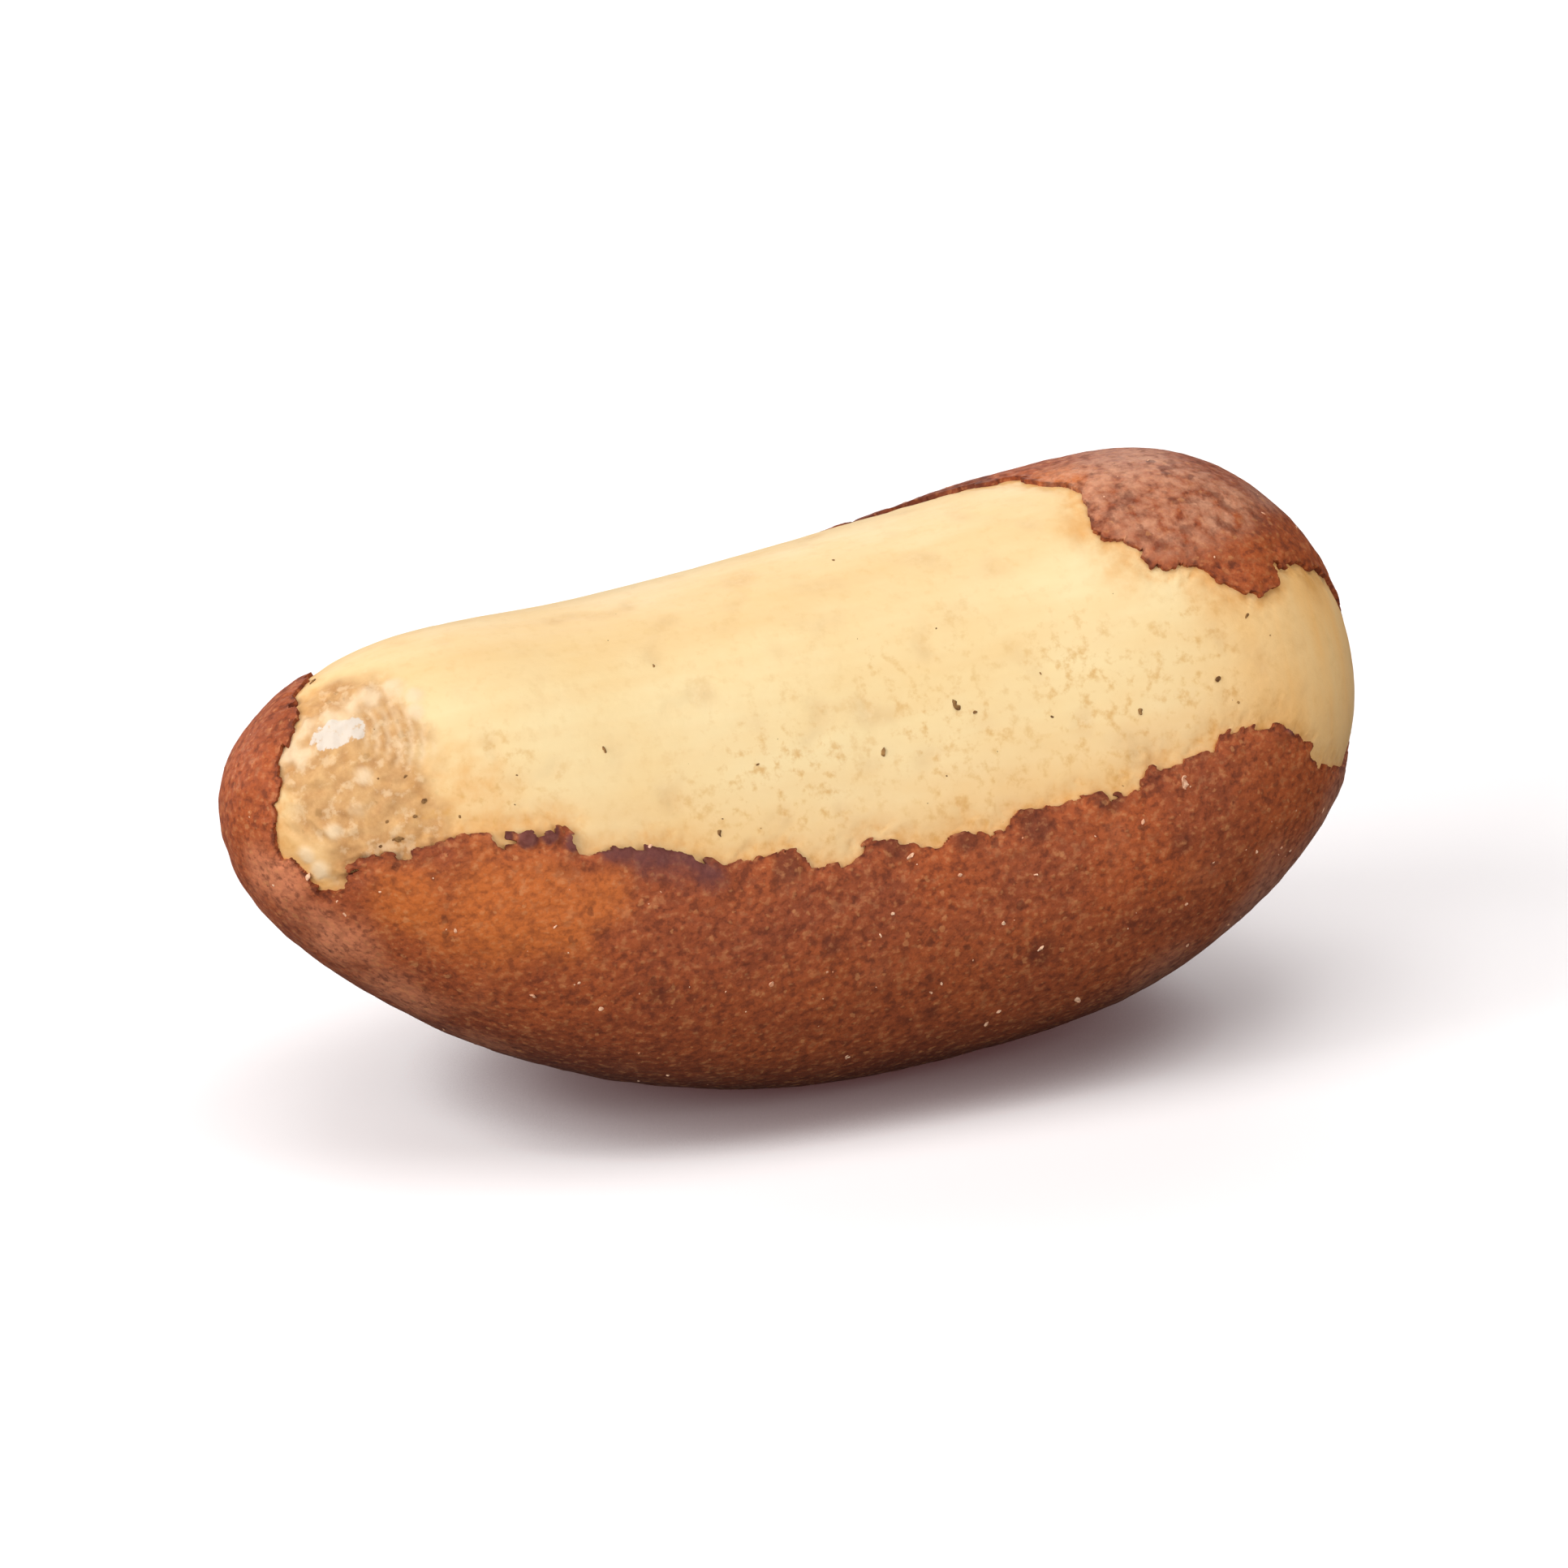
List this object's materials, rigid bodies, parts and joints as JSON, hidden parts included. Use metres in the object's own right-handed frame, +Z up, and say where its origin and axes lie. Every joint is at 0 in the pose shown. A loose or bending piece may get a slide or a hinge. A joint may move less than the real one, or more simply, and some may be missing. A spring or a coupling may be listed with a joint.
{
  "type": "shelled brazil nut",
  "caption": "Plump three-sided nut kernel, bent like a bean, with brown papery skin torn away from its cream flesh along one long face.",
  "frame": {"origin": "on the table, below the middle of the nut's bounding box", "axes": "+X from the slim end to the blunt end, +Z up as the nut lies on its belly; the bare front faces -Y"},
  "size_m": [0.0372, 0.0176, 0.0172],
  "materials": {
    "kernel": "waxy cream flesh under a thin dull brown papery skin"
  },
  "bodies": {
    "root": {"kernel": "kernel"}
  },
  "joints": []
}
